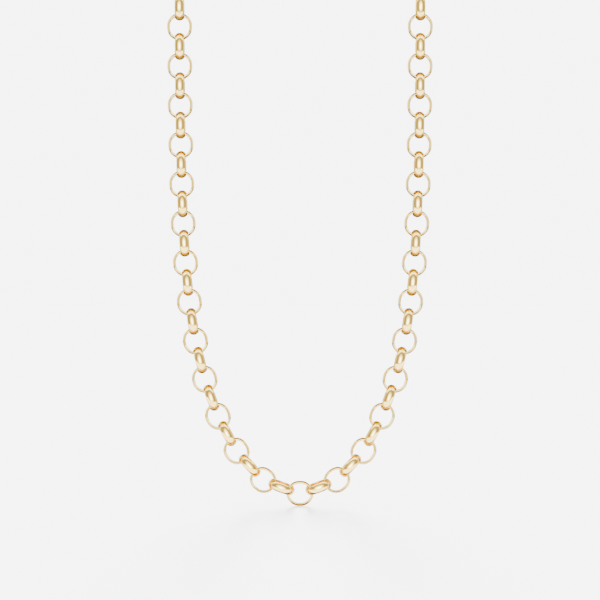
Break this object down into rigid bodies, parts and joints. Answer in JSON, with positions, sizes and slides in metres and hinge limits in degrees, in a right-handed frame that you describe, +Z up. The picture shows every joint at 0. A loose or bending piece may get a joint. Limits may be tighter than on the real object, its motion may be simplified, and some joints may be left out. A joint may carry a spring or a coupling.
{
  "type": "rolo chain necklace",
  "caption": "Gold-coloured rolo chain necklace of wide half-round-wire links, fastened into a loop by a plain clasp and hanging by it.",
  "frame": {"origin": "middle of the underside of the clasp, where the hanging loop rests on what carries it", "axes": "+Z up, X across the loop, Y through it from front (-Y) to back"},
  "size_m": [0.0818, 0.0078, 0.1913],
  "materials": {
    "gold": "polished pale yellow gold plate"
  },
  "bodies": {
    "root": {"chain_left": "gold", "chain_right": "gold", "clasp": "gold"}
  },
  "joints": []
}
